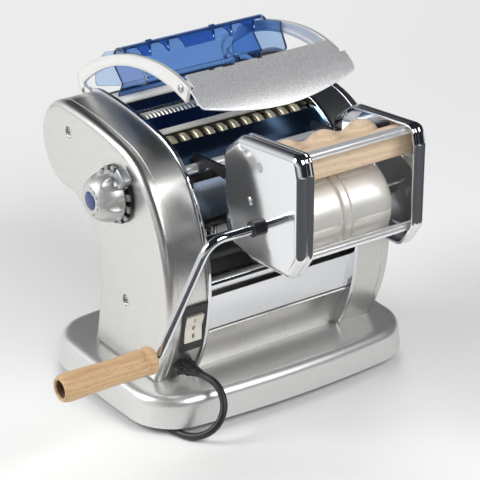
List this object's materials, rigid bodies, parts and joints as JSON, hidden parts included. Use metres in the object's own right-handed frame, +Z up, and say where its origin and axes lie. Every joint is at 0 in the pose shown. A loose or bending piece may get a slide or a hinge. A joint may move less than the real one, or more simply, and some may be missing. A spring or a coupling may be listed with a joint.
{
  "type": "electric pasta maker",
  "caption": "Motor-driven roller and cutter pasta machine with two curved pods on a broad base, a lifting blue guard, and a hook-on gnocchi maker turned by a wooden-gripped crank.",
  "frame": {"origin": "on the table plane, under the middle of the base", "axes": "+X along the rollers towards the side with the gears, -Y towards the front, +Z up"},
  "size_m": [0.401, 0.416, 0.3092],
  "materials": {
    "silver": "satin metallic silver paint",
    "black_plastic": "moulded black plastic",
    "rubber": "black rubber",
    "chrome": "mirror chrome",
    "steel": "ground steel",
    "brass": "turned brass",
    "gear_plastic": "ivory nylon",
    "gearbox_metal": "cast aluminium",
    "wood": "oiled beech",
    "blue_cap": "gloss blue plastic",
    "blue_clear": "clear blue polycarbonate"
  },
  "bodies": {
    "chassis": {"base_tray": "silver", "base_plate": "black_plastic", "rubber_feet": "rubber", "left_pod": "silver", "right_pod": "silver", "pod_screws": "steel", "left_side_plate": "chrome", "right_side_plate": "chrome", "bushes": "brass", "cream_plate": "gear_plastic", "deck": "steel", "stop_bar": "gear_plastic", "front_cover": "steel", "chrome_strip": "chrome", "chute_plate": "chrome", "rear_cover": "steel", "lower_skirt": "silver", "hook_rod": "chrome", "steel_roll": "steel", "dark_roll": "rubber", "stub_shafts": "steel", "gearbox": "gearbox_metal", "motor": "steel", "index_ring": "black_plastic", "switch_bezel": "black_plastic", "cable_gland": "black_plastic", "cord": "black_plastic", "cord_coil": "black_plastic", "plug": "black_plastic", "hinge_pins": "steel"},
    "front_rolling": {"front_roller": "steel"},
    "rear_rolling": {"rear_roller": "steel"},
    "fine_cutting": {"fine_cutter": "steel"},
    "fine_cutting_pair": {"fine_cutter_pair": "steel"},
    "wide_cutting": {"wide_cutter": "steel"},
    "wide_cutting_pair": {"wide_cutter_pair": "steel"},
    "branching": {"branch_gear": "gear_plastic"},
    "linking": {"link_gear": "gear_plastic"},
    "idling": {"idler_gear": "gear_plastic"},
    "driving": {"motor_pinion": "steel"},
    "dialling": {"dial": "silver", "dial_cap": "blue_cap"},
    "switching": {"rocker": "black_plastic"},
    "guard": {"left_guard_arm": "silver", "right_guard_arm": "silver", "visor": "silver", "hood": "blue_clear", "guard_screws": "steel"},
    "attachment": {"left_pan": "chrome", "right_pan": "chrome", "hooks": "chrome", "pan_rods": "chrome", "board": "wood", "comb_plate": "steel", "crank_collar": "black_plastic"},
    "cranking": {"drum": "steel", "crank": "chrome"},
    "gripping": {"grip": "wood"},
    "waving": {"wooden_roller": "wood"}
  },
  "joints": [
    {"name": "front_roller_spin", "type": "hinge", "parent": "chassis", "child": "front_rolling", "pos_m": [0, 0.075, 0.222], "axis": [1, 0, 0], "continuous": true},
    {"name": "rear_roller_spin", "type": "hinge", "parent": "chassis", "child": "rear_rolling", "pos_m": [0, 0.10219, 0.20932], "axis": [1, 0, 0], "continuous": true},
    {"name": "fine_cutter_spin", "type": "hinge", "parent": "chassis", "child": "fine_cutting", "pos_m": [0, 0.032, 0.2355], "axis": [1, 0, 0], "continuous": true},
    {"name": "fine_pair_spin", "type": "hinge", "parent": "chassis", "child": "fine_cutting_pair", "pos_m": [0, 0.04732, 0.22264], "axis": [1, 0, 0], "continuous": true},
    {"name": "wide_cutter_spin", "type": "hinge", "parent": "chassis", "child": "wide_cutting", "pos_m": [0, -0.0085, 0.2275], "axis": [1, 0, 0], "continuous": true},
    {"name": "wide_pair_spin", "type": "hinge", "parent": "chassis", "child": "wide_cutting_pair", "pos_m": [0, 0.0097, 0.21921], "axis": [1, 0, 0], "continuous": true},
    {"name": "branch_gear_spin", "type": "hinge", "parent": "chassis", "child": "branching", "pos_m": [0, 0.0297, 0.20786], "axis": [1, 0, 0], "continuous": true},
    {"name": "link_gear_spin", "type": "hinge", "parent": "chassis", "child": "linking", "pos_m": [0, 0.0551, 0.2023], "axis": [1, 0, 0], "continuous": true},
    {"name": "idler_gear_spin", "type": "hinge", "parent": "chassis", "child": "idling", "pos_m": [0, 0.00206, 0.17492], "axis": [1, 0, 0], "continuous": true},
    {"name": "motor_pinion_spin", "type": "hinge", "parent": "chassis", "child": "driving", "pos_m": [0, -0.00488, 0.13553], "axis": [1, 0, 0], "continuous": true},
    {"name": "dial_turn", "type": "hinge", "parent": "chassis", "child": "dialling", "pos_m": [0, -0.005, 0.199], "axis": [-1, 0, 0], "range_deg": [-270, 30]},
    {"name": "rocker_tilt", "type": "hinge", "parent": "chassis", "child": "switching", "pos_m": [-0.0935, -0.07561, 0.09356], "axis": [1, 0, 0], "range_deg": [-7, 7]},
    {"name": "guard_lift", "type": "hinge", "parent": "chassis", "child": "guard", "pos_m": [0, 0.111, 0.2368], "axis": [-1, 0, 0], "range_deg": [0, 75]},
    {"name": "attachment_lift", "type": "slide", "parent": "chassis", "child": "attachment", "axis": [0, 0, 1], "range_m": [0, 0.03]},
    {"name": "crank_turn", "type": "hinge", "parent": "attachment", "child": "cranking", "pos_m": [0, -0.135, 0.202], "axis": [1, 0, 0], "continuous": true},
    {"name": "grip_spin", "type": "hinge", "parent": "cranking", "child": "gripping", "pos_m": [0, -0.115, 0.098], "axis": [1, 0, 0], "continuous": true},
    {"name": "wooden_roller_spin", "type": "hinge", "parent": "attachment", "child": "waving", "pos_m": [0, -0.138, 0.257], "axis": [1, 0, 0], "continuous": true}
  ],
  "couplings": [
    {"joint": "rear_roller_spin", "follows": "front_roller_spin", "ratio": -1},
    {"joint": "link_gear_spin", "follows": "front_roller_spin", "ratio": -1.1538},
    {"joint": "branch_gear_spin", "follows": "front_roller_spin", "ratio": 1.1538},
    {"joint": "fine_pair_spin", "follows": "front_roller_spin", "ratio": -1.5},
    {"joint": "fine_cutter_spin", "follows": "front_roller_spin", "ratio": 1.5},
    {"joint": "wide_pair_spin", "follows": "front_roller_spin", "ratio": -1.5},
    {"joint": "wide_cutter_spin", "follows": "front_roller_spin", "ratio": 1.5},
    {"joint": "idler_gear_spin", "follows": "front_roller_spin", "ratio": -0.5},
    {"joint": "motor_pinion_spin", "follows": "front_roller_spin", "ratio": 1.5}
  ]
}
